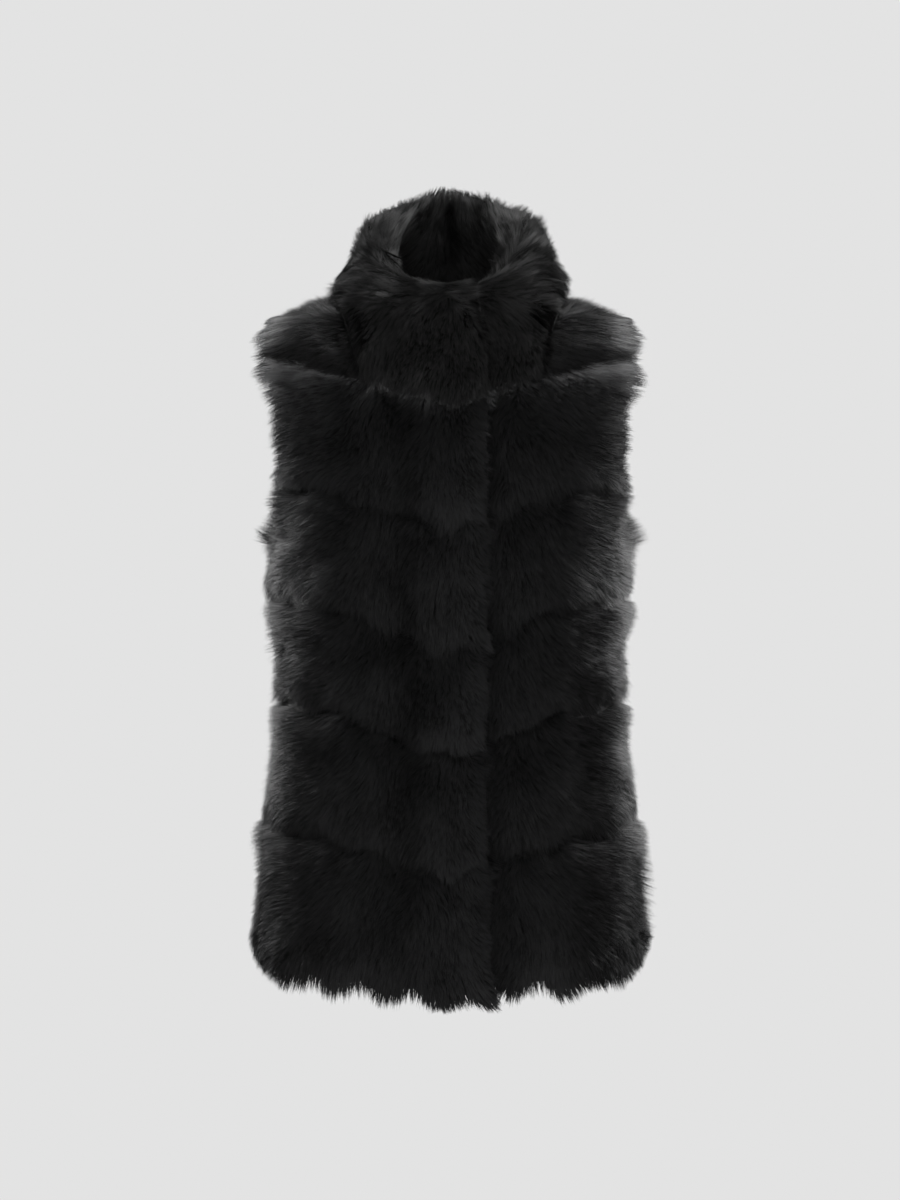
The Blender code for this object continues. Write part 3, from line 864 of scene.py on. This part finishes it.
def shade_strands(spots, rng):
    """How light each strand is, from 0 to 1: a tone that differs at random, with painted light and painted
    shade by part of the vest.
    """
    shade = START_SHADE + spots.lock[:, 1] * SHADE.lock + spots.tuft[:, 2] * SHADE.tuft
    shade += spots.wave[:, 1] * SHADE.wave + rng.normal(0, SHADE.strand, spots.count)
    if spots.kind in ("tier", "yoke"):
        # Painted shade on the sides' puffed tops and lower tiers, painted light on the hem's sides and on the
        # first tier's crest.
        shade -= (PAINTED_SHADE.side_top * spots.top + PAINTED_SHADE.side_low * spots.low) * spots.round_side
        shade += PAINTED_LIGHT.hem_side * spots.hem * faded(spots.beside, HEM_SIDE)
        shade += spots.crest * (PAINTED_LIGHT.crest + PAINTED_LIGHT.crest_side * faded(spots.beside, CREST_SIDE))
    if spots.on_back:
        # Painted shade: the back, lit from behind by the softboxes, is darkened.
        shade -= PAINTED_SHADE.back
    if spots.on_front:
        middle = 1 - spots.round_side
        # Painted light on the tier tops that lie in the lips' shadow, painted shade on the lips and on a
        # strip at each side of the waist.
        shade += (PAINTED_LIGHT.front_top * spots.top - PAINTED_SHADE.front_lip * spots.lip) * middle
        shade -= PAINTED_SHADE.inner_strip * humped(spots.beside, INNER_STRIP) * faded(spots.z, INNER_LOW)
    if spots.kind == "yoke":
        # Painted light at the shoulder ends and painted shade over the rest of the yoke.
        shade += PAINTED_LIGHT.shoulder_end * spots.outer - PAINTED_SHADE.yoke
    if spots.kind == "collar":
        # Painted light on the collar's front and painted shade on its sides, where the side softboxes reach.
        shade += PAINTED_LIGHT.collar_front * faded(spots.y, COLLAR_FRONT)
        shade -= PAINTED_SHADE.collar_side * faded(spots.beside, COLLAR_SIDE) * (1 - spots.ahead)
    # Painted shade over the rim's ring, with painted highlight streaks on some of its tufts.
    highlight_tufts = PAINTED_LIGHT.ring_tufts * faded(spots.tuft[:, 1], RING_HIGHLIGHT_TUFT)
    shade += spots.ring * (highlight_tufts - PAINTED_SHADE.ring)
    if spots.laps_over:
        # Painted highlight along the lap's edge.
        shade += PAINTED_LIGHT.lap * faded(spots.x, LAP_HIGHLIGHT)
    return np.clip(shade, *SHADE_LIMITS)


def strands(spots, surface, rng):
    """The roots and the tip of each strand, the soft way out that it is lit by, and its shade."""
    combing, length = comb_strands(spots, rng)
    over = reach_past_wall(spots, rng)
    tip = place_tips(spots, combing, over, rng)
    root = tucked_in(spots.places + combing * (over - length)[:, None], surface)
    seen = spots.out + COLLAR_SEEN * spots.ahead[:, None]
    half, face = spread_roots(spots, root, tip, seen, rng)
    lit = soft_light(spots, face, seen, rng)
    return root - half, root + half, tip, lit, shade_strands(spots, rng)


def strand_mesh(name, first_root, second_root, tip, lit, shade):
    """One mesh of all the strands: each is one long triangle that runs out to its tip."""
    count = len(tip)
    points = np.stack((first_root, second_root, tip), axis=1).reshape(-1, 3)
    mesh = bpy.data.meshes.new(name)
    mesh.vertices.add(count * 3)
    mesh.vertices.foreach_set("co", points.astype(np.float32).ravel())
    mesh.loops.add(count * 3)
    mesh.loops.foreach_set("vertex_index", np.arange(count * 3, dtype=np.int32))
    mesh.polygons.add(count)
    mesh.polygons.foreach_set("loop_start", np.arange(0, count * 3, 3, dtype=np.int32))
    mesh.update(calc_edges=True)
    mesh.shade_smooth()
    layer = mesh.attributes.new("custom_normal", "FLOAT_VECTOR", "POINT")
    layer.data.foreach_set("vector", np.repeat(lit, 3, axis=0).astype(np.float32).ravel())
    across = np.stack((shade - SHADE_SPREAD, shade + SHADE_SPREAD, shade), axis=1)
    along = np.broadcast_to((0.0, 0.0, 1.0), (count, 3))
    layer = mesh.uv_layers.new(name="OFBake")
    layer.data.foreach_set("uv", np.stack((across, along), axis=2).astype(np.float32).ravel())
    return mesh


def grow_pile(name, wall, look, rng):
    """The pile of a node, grown from the pile side of its wall."""
    points, corners, normals, centres = wall
    grown = pile_faces(name, unit(normals), centres)
    corners, normals = corners[grown], normals[grown]
    density = STRANDS_BACK if name.startswith("back") else STRANDS_FRONT
    count = int(np.linalg.norm(normals, axis=1).sum() * density)
    places, out = scatter(points, corners, normals, count, rng)
    if kind_of(name) in OUT_LEAST_UP:
        out[:, 2] = np.maximum(out[:, 2], OUT_LEAST_UP[kind_of(name)])
    if "right" in name:
        out[(places[:, 1] < FRONT_Y) & (places[:, 0] > LAP_TURNED_X), 0] *= LAP_TURN_KEPT
    out = unit(out)
    share = height_share(name, points[np.unique(corners)], places)
    surface = BVHTree.FromPolygons(points.tolist(), corners.tolist())
    spots = read_spots(name, places, out, share, rng)
    mesh = strand_mesh(name + "_fur", *strands(spots, surface, rng))
    mesh.materials.append(look)
    made = bpy.data.objects.new(name + "_fur", mesh)
    bpy.context.scene.collection.objects.link(made)
    return made


def node(tree, kind, **settings):
    """A shader node with its settings."""
    made = tree.nodes.new(kind)
    for key, value in settings.items():
        setattr(made, key, value)
    return made


def pile_shades():
    """A group that turns a strand's shade and the place along it into a colour."""
    group = bpy.data.node_groups.new("pile_shades", "ShaderNodeTree")
    group.interface.new_socket("Place", in_out="INPUT", socket_type="NodeSocketVector")
    group.interface.new_socket("Root", in_out="INPUT", socket_type="NodeSocketColor")
    group.interface.new_socket("Tip", in_out="INPUT", socket_type="NodeSocketColor")
    group.interface.new_socket("Colour", in_out="OUTPUT", socket_type="NodeSocketColor")
    group.interface.new_socket("Along", in_out="OUTPUT", socket_type="NodeSocketFloat")
    start = node(group, "NodeGroupInput")
    end = node(group, "NodeGroupOutput")
    split = node(group, "ShaderNodeSeparateXYZ")
    group.links.new(start.outputs["Place"], split.inputs[0])
    along = node(group, "ShaderNodeMapRange", interpolation_type="SMOOTHSTEP")
    along.inputs["From Min"].default_value = ROOT_ENDS
    along.inputs["From Max"].default_value = 1.0
    group.links.new(split.outputs["Y"], along.inputs["Value"])
    blend = node(group, "ShaderNodeMix", data_type="RGBA")
    group.links.new(along.outputs["Result"], blend.inputs["Factor"])
    group.links.new(start.outputs["Root"], blend.inputs["A"])
    group.links.new(start.outputs["Tip"], blend.inputs["B"])
    tint = node(group, "ShaderNodeMapRange")
    tint.inputs["To Min"].default_value = DARKEST_STRAND
    tint.inputs["To Max"].default_value = LIGHTEST_STRAND
    group.links.new(split.outputs["X"], tint.inputs["Value"])
    shaded = node(group, "ShaderNodeVectorMath", operation="SCALE")
    group.links.new(blend.outputs["Result"], shaded.inputs[0])
    group.links.new(tint.outputs["Result"], shaded.inputs["Scale"])
    group.links.new(shaded.outputs["Vector"], end.inputs["Colour"])
    group.links.new(along.outputs["Result"], end.inputs["Along"])
    return group


def pile_look(name, group, pile):
    """The finish of one pile, dull at the roots."""
    look = bpy.data.materials.new(name)
    look.use_nodes = True
    tree = look.node_tree
    shader = tree.nodes["Principled BSDF"]
    place = node(tree, "ShaderNodeUVMap", uv_map="OFBake")
    shades = node(tree, "ShaderNodeGroup", node_tree=group)
    shades.inputs["Root"].default_value = (*pile.root, 1)
    shades.inputs["Tip"].default_value = (*pile.tip, 1)
    tree.links.new(place.outputs["UV"], shades.inputs["Place"])
    tree.links.new(shades.outputs["Colour"], shader.inputs["Base Color"])
    dull = node(tree, "ShaderNodeMapRange")
    dull.inputs["To Min"].default_value = ROOT_ROUGHNESS
    dull.inputs["To Max"].default_value = pile.roughness
    tree.links.new(shades.outputs["Along"], dull.inputs["Value"])
    tree.links.new(dull.outputs["Result"], shader.inputs["Roughness"])
    shader.inputs["Specular IOR Level"].default_value = pile.gloss
    return look


def skin_look(name, skin):
    """The finish of the bare hide or of the underfur: two close colours in a fine grain, with a bump."""
    look = bpy.data.materials.new(name)
    look.use_nodes = True
    tree = look.node_tree
    shader = tree.nodes["Principled BSDF"]
    place = node(tree, "ShaderNodeTexCoord")
    grain = node(tree, "ShaderNodeTexNoise")
    grain.inputs["Scale"].default_value = skin.scale
    grain.inputs["Detail"].default_value = SKIN_DETAIL
    blend = node(tree, "ShaderNodeMix", data_type="RGBA")
    blend.inputs["A"].default_value = (*skin.dark, 1)
    blend.inputs["B"].default_value = (*skin.light, 1)
    bump = node(tree, "ShaderNodeBump")
    bump.inputs["Strength"].default_value = SKIN_BUMP
    bump.inputs["Distance"].default_value = skin.bump
    tree.links.new(place.outputs["Object"], grain.inputs["Vector"])
    tree.links.new(grain.outputs["Fac"], blend.inputs["Factor"])
    tree.links.new(grain.outputs["Fac"], bump.inputs["Height"])
    tree.links.new(blend.outputs["Result"], shader.inputs["Base Color"])
    tree.links.new(bump.outputs["Normal"], shader.inputs["Normal"])
    shader.inputs["Roughness"].default_value = SKIN_ROUGHNESS
    return look


def seen_or_lighting(tree, end, lighting, seen):
    """Shows one shader to the camera, and lights the vest with the other."""
    rays = node(tree, "ShaderNodeLightPath")
    pick = node(tree, "ShaderNodeMixShader")
    tree.links.new(rays.outputs["Is Camera Ray"], pick.inputs[0])
    tree.links.new(lighting.outputs[0], pick.inputs[1])
    tree.links.new(seen.outputs[0], pick.inputs[2])
    tree.links.new(pick.outputs[0], end.inputs["Surface"])


def grey(tree, kind, value):
    """A plain grey shader of one kind."""
    made = node(tree, kind)
    made.inputs["Color"].default_value = (value, value, value, 1)
    return made


def pale_stage():
    """The plain pale floor and the studio's walls, which don't tint the vest."""
    bpy.ops.object.select_all(action="DESELECT")
    bpy.ops.mesh.primitive_plane_add(size=FLOOR_SIZE, location=FLOOR_PLACE)
    floor = bpy.context.object
    floor.name = "floor"
    paint = bpy.data.materials.new("pale_floor")
    paint.use_nodes = True
    tree = paint.node_tree
    tree.nodes.clear()
    end = node(tree, "ShaderNodeOutputMaterial")
    bounce = grey(tree, "ShaderNodeBsdfDiffuse", FLOOR_BOUNCE)
    seen_or_lighting(tree, end, bounce, grey(tree, "ShaderNodeEmission", PALE))
    floor.data.materials.append(paint)
    world = bpy.data.worlds.new("studio")
    bpy.context.scene.world = world
    world.use_nodes = True
    tree = world.node_tree
    tree.nodes.clear()
    end = node(tree, "ShaderNodeOutputWorld")
    fill = grey(tree, "ShaderNodeBackground", AMBIENT)
    seen_or_lighting(tree, end, fill, grey(tree, "ShaderNodeBackground", PALE))


def set_softbox(box):
    """A softbox that shines from its place towards its aim."""
    light = bpy.data.lights.new(box.name, "AREA")
    light.shape = "RECTANGLE"
    light.size = box.width
    light.size_y = box.height
    light.energy = box.watts
    made = bpy.data.objects.new(box.name, light)
    made.location = box.place
    made.rotation_euler = (Vector(box.aim) - Vector(box.place)).to_track_quat("-Z", "Y").to_euler()
    bpy.context.scene.collection.objects.link(made)


def set_camera():
    """The camera straight in front, with the photo's frame."""
    camera = bpy.data.objects.new("camera", bpy.data.cameras.new("camera"))
    camera.location = (0, -CAMERA_AWAY, CAMERA_Z)
    camera.rotation_euler = (math.pi / 2, 0, 0)
    camera.data.sensor_width = SENSOR
    camera.data.lens = SENSOR * CAMERA_AWAY / FRAME_TALL
    bpy.context.scene.collection.objects.link(camera)
    bpy.context.scene.camera = camera
    bpy.context.scene.view_settings.view_transform = "Standard"


strand_shades = pile_shades()
LOOKS = {name: pile_look(name, strand_shades, pile) for name, pile in PILES.items()}
LOOKS.update({name: skin_look(name, skin) for name, skin in SKINS.items()})

pile_rng = np.random.default_rng(SEED)
for piece, cut in CUTS.items():
    pile_slot = {"collar": "collar_pile", "facing": "facing_pile"}.get(kind_of(piece), "body_pile")
    template = merged_copy(piece)
    wall_arrays = mesh_arrays(template.data)
    bpy.data.objects.remove(template)
    hide = cut_hide(piece)
    fur = grow_pile(piece, wall_arrays, LOOKS[pile_slot], pile_rng)
    for made in (hide, fur):
        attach(made, "root")
    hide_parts(piece)

pale_stage()
for box in SOFTBOXES:
    set_softbox(box)
set_camera()
